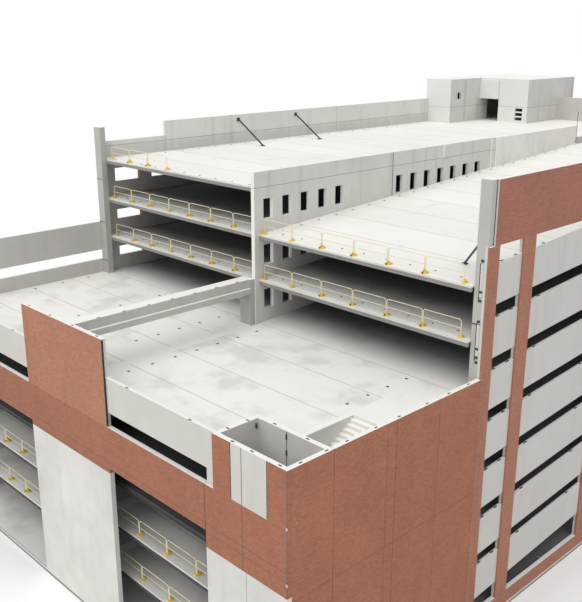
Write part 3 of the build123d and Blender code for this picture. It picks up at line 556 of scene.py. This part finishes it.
CORNERS = np.array([[i, j, k] for k in (0, 1) for j in (0, 1) for i in (0, 1)])
SIDES = np.array([[0, 2, 3, 1], [4, 5, 7, 6], [0, 1, 5, 4], [2, 6, 7, 3], [0, 4, 6, 2], [1, 3, 7, 5]])


def blocks(low, high):
    """Straight blocks between two arrays of corners: each corner is low + step (high - low)."""
    low, high = np.minimum(low, high), np.maximum(low, high)
    points = low[:, None, :] + CORNERS[None, :, :] * (high - low)[:, None, :]
    faces = SIDES[None, :, :] + len(CORNERS) * np.arange(len(low))[:, None, None]
    return points.reshape(-1, 3), faces.reshape(-1, 4)


def block(s, t, z):
    """One straight block over a range of s, one of t and one of heights."""
    ranges = np.array([s, t, z], float)
    return blocks(place(*ranges[:, :1]), place(*ranges[:, 1:]))


TUBE_SIDES = 8
SKEW = (0.31, 0.83, 0.46)


def tubes(paths, radius):
    """Round tubes along paths of one length: at each point of a path, the ring
    centre + radius (cos a u + sin a v), with u and v square to the path's own direction."""
    count, length, _ = paths.shape
    along = np.gradient(paths, axis=1)
    along /= np.linalg.norm(along, axis=2, keepdims=True)
    across = np.cross(along[:, :1], SKEW)
    across /= np.linalg.norm(across, axis=2, keepdims=True)
    u = across - (across * along).sum(2, keepdims=True) * along
    u /= np.linalg.norm(u, axis=2, keepdims=True)
    v = np.cross(along, u)
    angle = np.linspace(0, 2 * np.pi, TUBE_SIDES, endpoint=False)[None, None, :, None]
    rings = paths[:, :, None] + radius * (np.cos(angle) * u[:, :, None] + np.sin(angle) * v[:, :, None])
    number = np.arange(count * length * TUBE_SIDES).reshape(count, length, TUBE_SIDES)
    a, b = number[:, :-1], number[:, 1:]
    skin = np.stack([a, np.roll(a, -1, 2), np.roll(b, -1, 2), b], axis=-1).reshape(-1, 4)
    ends = np.concatenate([number[:, 0, ::-1], number[:, -1]])
    return rings.reshape(-1, 3), skin.tolist() + ends.tolist()


def bracket(s, profile):
    """A profile of places t and heights, carried straight over the range s."""
    t, z = np.array(profile).T
    points = np.concatenate([place(s[0], t, z), place(s[1], t, z)])
    count = len(profile)
    around = [((i + 1) % count, i, i + count, (i + 1) % count + count) for i in range(count)]
    return points, [tuple(range(count)), tuple(range(2 * count - 1, count - 1, -1))] + around


def join(*parts):
    """One set of points and faces from several."""
    points, faces, first = [], [], 0
    for some_points, some_faces in parts:
        points += np.asarray(some_points).tolist()
        faces += [[int(number) + first for number in face] for face in some_faces]
        first = len(points)
    return points, faces


def marks(name, centres, size, material, slot="concrete_grey"):
    """A block of one size around each centre (s, t, height)."""
    centres, half = np.asarray(centres, float), np.asarray(size, float) / 2
    low, high = (place(*(centres + way * half).T) for way in (-1, 1))
    return piece(name, *blocks(low, high), material, slot)


def row(start, end, count):
    """Places at even steps from start to end, both (s, t, height)."""
    return np.linspace(start, end, count).tolist()


# The high beam and the bracketed column under it, both a little left of the middle of the
# window wall, the columns of the rear beams, and the wall's near end behind the first column
BEAM_END = 13.9
BEAM_FOOT, BEAM_LEDGE, BEAM_TOP = WORK_DECK + 2.32, WORK_DECK + 2.72, WORK_DECK + 3.32
BEAM_STEM_S, BEAM_LEDGES_S = (18.33, 19.25), (18.1, 19.48)
COLUMN_S, COLUMN_FACE = (18.2, 19.3), 14.32
BRACKET_S, BRACKET_FRONT = (18.35, 19.15), 13.45
BRACKET_FOOT, BRACKET_NOSE = WORK_DECK + 1.5, WORK_DECK + 1.95
REAR_COLUMN_S, REAR_COLUMNS_T = (17.6, 19.0), ((57.0, 57.7), (70.6, 71.3))
WALL_END_S = (18.15, 18.47)
beam = piece(
    "ledged_high_beam",
    *join(
        block(BEAM_STEM_S, (WALL, BEAM_END), (BEAM_LEDGE, BEAM_TOP)),
        block(BEAM_LEDGES_S, (WALL, BEAM_END), (BEAM_FOOT, BEAM_LEDGE)),
    ),
    "beam", "concrete_grey",
)
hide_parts("high_beam")
bracket_profile = [
    (BEAM_END, BRACKET_FOOT), (BEAM_END, BEAM_FOOT),
    (BRACKET_FRONT, BEAM_FOOT), (BRACKET_FRONT, BRACKET_NOSE),
]
columns = piece(
    "bracketed_columns",
    *join(
        block(COLUMN_S, (BEAM_END, COLUMN_FACE), (WORK_DECK, BEAM_TOP)),
        bracket(BRACKET_S, bracket_profile),
        *[block(REAR_COLUMN_S, t, (BASE, ROOF)) for t in REAR_COLUMNS_T],
    ),
    "column", "concrete_grey",
)
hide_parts("centre_columns")
piece(
    "window_wall_end",
    *block(WALL_END_S, (COLUMN_FACE, RAMP_START), (WORK_DECK, ROOF + PARAPET)),
    "lite", "concrete_pale",
)

# Guard rails in sections: a bent top tube, a middle rail and two weighted feet each
RAIL_TOP, RAIL_MIDDLE, RAIL_INSET = 1.05, 0.55, 0.3
RAIL_TUBE, MIDDLE_TUBE, RAIL_BEND, BEND_STEPS = 0.025, 0.021, 0.16, 6
SECTION, SECTION_GAP = 2.7, 0.04
FOOT, FOOT_BAR, FOOT_HEIGHT = 0.4, 0.1, 0.1
SOCKET, SOCKET_HEIGHT = 0.06, 0.22
LIFT = SLOPE * (RAIL_INSET + FOOT / 2)


def rail_line(start, end, t, z, lift=0.0):
    """Sections at even steps from start to end: each one's start, end, place t and height."""
    count = max(1, round((end - start) / SECTION))
    edges = np.linspace(start + FOOT / 2, end - FOOT / 2, count + 1)
    return [(a + SECTION_GAP, b - SECTION_GAP, t, z + lift) for a, b in zip(edges, edges[1:])]


def rail_sections(name, rails, replaced=None):
    """Sections of rail: a tube up one end, along the top and down the other, bent on a
    quarter circle in each upper corner, with a straight middle rail and blocks as feet.

    The first bend's places are start + bend (1 - cos a) and top - bend (1 - sin a), and the
    second bend mirrors them."""
    sections = np.array([section for line in rails for section in line])
    start, end, t, z = (sections[:, i, None] for i in range(4))
    turn = np.linspace(0, np.pi / 2, BEND_STEPS)[None, :]
    top = z + RAIL_TOP - RAIL_TUBE
    reach, rise = RAIL_BEND * np.cos(turn), RAIL_BEND * np.sin(turn)
    s = np.concatenate([start, start + RAIL_BEND - reach, end - RAIL_BEND + rise, end], 1)
    low = z + FOOT_HEIGHT
    height = np.concatenate([low, top - RAIL_BEND + rise, top - RAIL_BEND + reach, low], 1)
    arch = tubes(place(s, t, height), RAIL_TUBE * HALF)
    both = np.concatenate([start, end], 1)
    middle = tubes(place(both, t, z + RAIL_MIDDLE - RAIL_TUBE), MIDDLE_TUBE * HALF)
    ends = np.concatenate([sections[:, [0, 2, 3]], sections[:, [1, 2, 3]]])
    s, t, z = np.unique(np.round(ends, 1), axis=0).T
    feet = join(*[
        blocks(place(s - wide, t - deep, z), place(s + wide, t + deep, z + high))
        for wide, deep, high in (
            (FOOT / 2, FOOT_BAR, FOOT_HEIGHT / 2),
            (FOOT_BAR, FOOT / 2, FOOT_HEIGHT),
            (SOCKET, SOCKET, SOCKET_HEIGHT),
        )
    ])
    made = piece(name, *join(arch, middle), "rail", "steel_yellow")
    stand = piece(name + "_feet", *feet, "yellow", "steel_yellow")
    if replaced:
        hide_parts(replaced)
        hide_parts(replaced)


UPPER_RAIL_T = RAMP_START + RAIL_INSET
FRONT_RAILS_T = {1: 1.55, 2: 1.55, 3: 2.7}
RAMP_RAIL_S, FLOOR_RAIL_S, ROOF_RAIL_S = (1.3, 18.15), (18.45, 36.6), (28.6, 36.6)
FRONT_RAILS_S = ((6.0, 17.6), (19.0, 37.3))
rail_sections(
    "rails_ramps",
    [rail_line(*RAMP_RAIL_S, UPPER_RAIL_T, level(k), LIFT) for k in UPPER_LEVELS],
    "guard_rails_ramps",
)
rail_sections(
    "rails_floors",
    [rail_line(*FLOOR_RAIL_S, UPPER_RAIL_T, level(k)) for k in UPPER_LEVELS],
    "guard_rails_floors",
)
rail_sections(
    "rails_front",
    [rail_line(*s, FRONT_RAILS_T[k], level(k)) for k in OPEN_LEVELS for s in FRONT_RAILS_S],
    "guard_rails_front",
)
rail_sections("rails_roof", [rail_line(*ROOF_RAIL_S, UPPER_RAIL_T, ROOF)])

# Lifting pockets in the tops of the walls and panels, level with the white tops
WALL_TOP = WORK_DECK + PARAPET
PANEL_TOP = WORK_DECK + 3.34
WALL_MIDDLE = WALL / 2
POCKET, POCKET_WIDTH, POCKET_DEPTH = 0.22, 0.09, 0.012
FRONT_POCKETS_S = (0.6, 2.5, 3.9, 7.2, 12.8, 26.0, 31.0, 36.0)
SHAFT_POCKETS = ((5.15, 0.9), (5.15, 2.2), (1.6, 2.9), (3.9, 2.9))
RIGHT_POCKETS_T = (1.0, 2.7, 4.1, 6.2, 8.0, 10.3, 12.2, 14.0)
SPANDREL_POCKETS_T = (16.5, 17.9, 20.8, 27.0, 31.2, 37.4)
BEAM_POCKETS_S = 18.40
marks(
    "lifting_pockets_front",
    [[s, WALL_MIDDLE, WALL_TOP] for s in FRONT_POCKETS_S]
    + [[s, t, WALL_TOP] for s, t in SHAFT_POCKETS],
    (POCKET, POCKET_WIDTH, POCKET_DEPTH), "pocket",
)
marks(
    "lifting_pockets_right", [[WALL_MIDDLE, t, WALL_TOP] for t in RIGHT_POCKETS_T],
    (POCKET_WIDTH, POCKET, POCKET_DEPTH), "pocket",
)
marks(
    "lifting_pockets_beam",
    row((BEAM_POCKETS_S, 2.0, BEAM_TOP), (BEAM_POCKETS_S, 12.9, BEAM_TOP), 7),
    (0.10, POCKET, POCKET_DEPTH), "pocket",
)
marks(
    "lifting_pockets_panel",
    row((15.6, WALL_MIDDLE, PANEL_TOP), (23.4, WALL_MIDDLE, PANEL_TOP), 4),
    (POCKET, POCKET_WIDTH, POCKET_DEPTH), "pocket",
)
marks(
    "lifting_pockets_spandrels",
    [
        [0.2, t, level(k) + SLOPE * (t - RAMP_START) + SPANDREL_RISE]
        for k in range(1, 8) for t in SPANDREL_POCKETS_T
    ],
    (0.10, 0.30, 0.03), "pocket",
)

# Small dark anchors in the floors, in rows along the walls, the beams and the open edges
ANCHOR_HEIGHT = 0.03


def anchors(name, rows, wide, deep):
    """Anchors in rows, each row the places of its two ends and a count."""
    centres = [centre for start, end, count in rows for centre in row(start, end, count)]
    marks(name, centres, (wide, deep, ANCHOR_HEIGHT), "pocket")


def ramp_top(t):
    """The height of the uppermost ramp at the place t."""
    return level(7) + SLOPE * (t - RAMP_START)


EDGE_T, EDGE_RISE = 15.7, 0.06
anchors(
    "deck_anchors",
    [
        ((s, near, WORK_DECK), (s, far, WORK_DECK), count)
        for s, near, far, count in (
            (17.0, 3.0, 13.4, 7), (21.2, 6.4, 13.5, 5), (36.9, 7.5, 12.3, 3),
            (28.5, 6.4, 13.5, 3), (4.6, 9.0, 14.2, 4),
        )
    ],
    0.16, 0.16,
)
anchors(
    "ramp_anchors",
    [
        ((s, near, ramp_top(near)), (s, far, ramp_top(far)), count)
        for s, near, far, count in ((17.6, 16.4, 56.2, 23), (1.3, 17.2, 52.0, 20))
    ],
    0.14, 0.14,
)
anchors(
    "roof_anchors",
    [
        ((36.9, 17.0, ROOF), (36.9, 56.0, ROOF), 22),
        ((18.9, 16.4, ROOF), (18.9, 56.0, ROOF), 22),
        ((19.5, 15.1, ROOF), (36.0, 15.1, ROOF), 10),
    ],
    0.13, 0.13,
)
anchors(
    "edge_anchors",
    [
        ((near, EDGE_T, level(k) + rise), (far, EDGE_T, level(k) + rise), 9)
        for k in UPPER_LEVELS
        for near, far, rise in ((2.2, 16.8, EDGE_RISE), (19.8, 35.6, 0.0))
    ],
    0.13, 0.10,
)

# Two ribs and two dark joints on the ramp side of the window wall
WALL_FACE = CENTRE_S - 0.15
RIB_FACE = WALL_FACE - 0.12
RIB_TOP = ROOF + 1.04
piece(
    "wall_ribs",
    *join(
        block((RIB_FACE, WALL_FACE), (35.3, 36.0), (ROOF - 0.02, RIB_TOP)),
        block((RIB_FACE, WALL_FACE), (42.3, 42.92), (ROOF - 2.6, RIB_TOP)),
    ),
    "lite", "concrete_pale",
)
marks(
    "wall_joints",
    [[WALL_FACE, LITE_JOINT_T, ROOF - 1.2], [WALL_FACE - 0.25, 56.9, ROOF + 0.2]],
    (0.03, 0.035, 4.5), "sealant",
)

# Channels, pockets and splices on the front faces of the right and the left column
CHANNEL_S, CHANNEL_JOINT_S, SPLICE_S = 0.42, 0.53, 0.58
LEFT_FACE = RAMP_START - 0.5
marks(
    "column_channels",
    [[CHANNEL_S, FRONT_DEPTH, WORK_DECK + z] for z in (6.75, 3.3)],
    (0.17, 0.05, 1.85), "plate", "steel_dark",
)
marks(
    "column_channel_joints",
    [[CHANNEL_JOINT_S, FRONT_DEPTH, WORK_DECK + z] for z in (6.6, 3.2)],
    (0.04, 0.06, 2.2), "sealant",
)
marks(
    "column_pockets",
    [[CHANNEL_S, FRONT_DEPTH, WORK_DECK + z] for z in (7.85, 6.1, 5.6, 4.4, 2.8, 2.3, 2.0)],
    (0.17, 0.07, 0.14), "pocket",
)
marks(
    "column_splices", [[SPLICE_S, FRONT_DEPTH, WORK_DECK + 4.22]], (0.56, 0.04, 0.05), "sealant"
)

# The column reaches nearly to the outer face over the first strip, with a dark gap
# beside the top panel
FLANGE_FOOT, FLANGE_TOP = WORK_DECK + 8.65, WORK_DECK + 12.25
piece(
    "right_column_upper",
    *block((0.13, WALL), (FRONT_DEPTH, 15.42), (FLANGE_FOOT, FLANGE_TOP)),
    "column", "concrete_grey",
)
piece(
    "right_column_gap",
    *block((0.11, WALL), (15.41, 15.45), (FLANGE_FOOT, FLANGE_TOP - 0.02)),
    "sealant", "concrete_grey",
)
marks(
    "left_column_splices",
    [[37.2, LEFT_FACE, WORK_DECK + z] for z in (1.1, 4.4, 8.0)],
    (0.80, 0.03, 0.04), "sealant",
)

# Joint with dark plates in the middle of the lift shaft's rear wall
SHAFT_MIDDLE_S = 2.9
marks(
    "shaft_joint", [[SHAFT_MIDDLE_S, 2.75, WORK_DECK - 1.2]], (0.03, 0.03, 4.5), "sealant"
)
marks(
    "shaft_plates",
    [[SHAFT_MIDDLE_S, 2.74, WORK_DECK + z] for z in (0.75, -0.1, -1.0)]
    + [[4.95, 2.6, WORK_DECK + 0.7]],
    (0.09, 0.05, 0.28), "pocket",
)

# Dark joints beside the tower's grey panel, its leg and the middle brick panel, and two
# plates at the tower's corner
marks(
    "front_joints", [[s, 0.0, WORK_DECK - 0.45] for s in (1.35, 3.13, 3.93)],
    (0.03, 0.012, 3.0), "sealant",
)
marks("panel_joint", [[14.88, 0.03, WORK_DECK + 0.7]], (0.04, 0.10, 5.2), "sealant")
marks(
    "corner_brackets", [[0.02, 0.0, WORK_DECK - drop] for drop in (1.9, 4.9)],
    (0.10, 0.02, 0.12), "plate",
)

# A pale floor that the camera sees as white apart from the building's shadow
FLOOR_HALF = 2000
floor_shader = Shader("pale_floor")
floor_tone = floor_shader.noise(0.05, 2.0)
floor_colour = floor_shader.blend((0.985, 0.985, 0.98), (0.97, 0.97, 0.965), floor_tone)
floor_mesh = bpy.data.meshes.new("floor")
floor_corners = [
    (x * FLOOR_HALF, y * FLOOR_HALF, 0) for x, y in ((-1, -1), (1, -1), (1, 1), (-1, 1))
]
floor_mesh.from_pydata(floor_corners, [], [(0, 1, 2, 3)])
floor_mesh.materials.append(floor_shader.finish(floor_colour, 0.9))
floor = bpy.data.objects.new("floor", floor_mesh)
bpy.context.scene.collection.objects.link(floor)

# A pale sky that the camera and reflections see as white, and one soft lamp from the front
SKY_COLOUR, SKY_STRENGTH = (0.93, 0.96, 1.0, 1), 0.56
LAMP_STRENGTH, LAMP_SPREAD, LAMP_COLOUR = 1.85, math.radians(80), (1.0, 0.98, 0.94)
LAMP_DIRECTION = Vector((-0.12, 0.5, -0.86))
world = bpy.data.worlds.new("pale_sky")
bpy.context.scene.world = world
world.use_nodes = True
tree = world.node_tree
rays = tree.nodes.new("ShaderNodeLightPath")
sky = tree.nodes["Background"]
sky.inputs["Color"].default_value = SKY_COLOUR
sky.inputs["Strength"].default_value = SKY_STRENGTH
backdrop = tree.nodes.new("ShaderNodeBackground")
backdrop.inputs["Color"].default_value = (1, 1, 1, 1)
seen = tree.nodes.new("ShaderNodeMath")
seen.operation = "MAXIMUM"
tree.links.new(rays.outputs["Is Camera Ray"], seen.inputs[0])
tree.links.new(rays.outputs["Is Glossy Ray"], seen.inputs[1])
mixed = tree.nodes.new("ShaderNodeMixShader")
tree.links.new(seen.outputs[0], mixed.inputs[0])
tree.links.new(sky.outputs[0], mixed.inputs[1])
tree.links.new(backdrop.outputs[0], mixed.inputs[2])
tree.links.new(mixed.outputs[0], tree.nodes["World Output"].inputs[0])
lamp = bpy.data.objects.new("key_lamp", bpy.data.lights.new("key_lamp", "SUN"))
bpy.context.scene.collection.objects.link(lamp)
lamp.data.energy = LAMP_STRENGTH
lamp.data.angle = LAMP_SPREAD
lamp.data.color = LAMP_COLOUR
lamp.rotation_euler = LAMP_DIRECTION.to_track_quat("-Z", "Y").to_euler()

bpy.context.scene.view_settings.view_transform = "Standard"
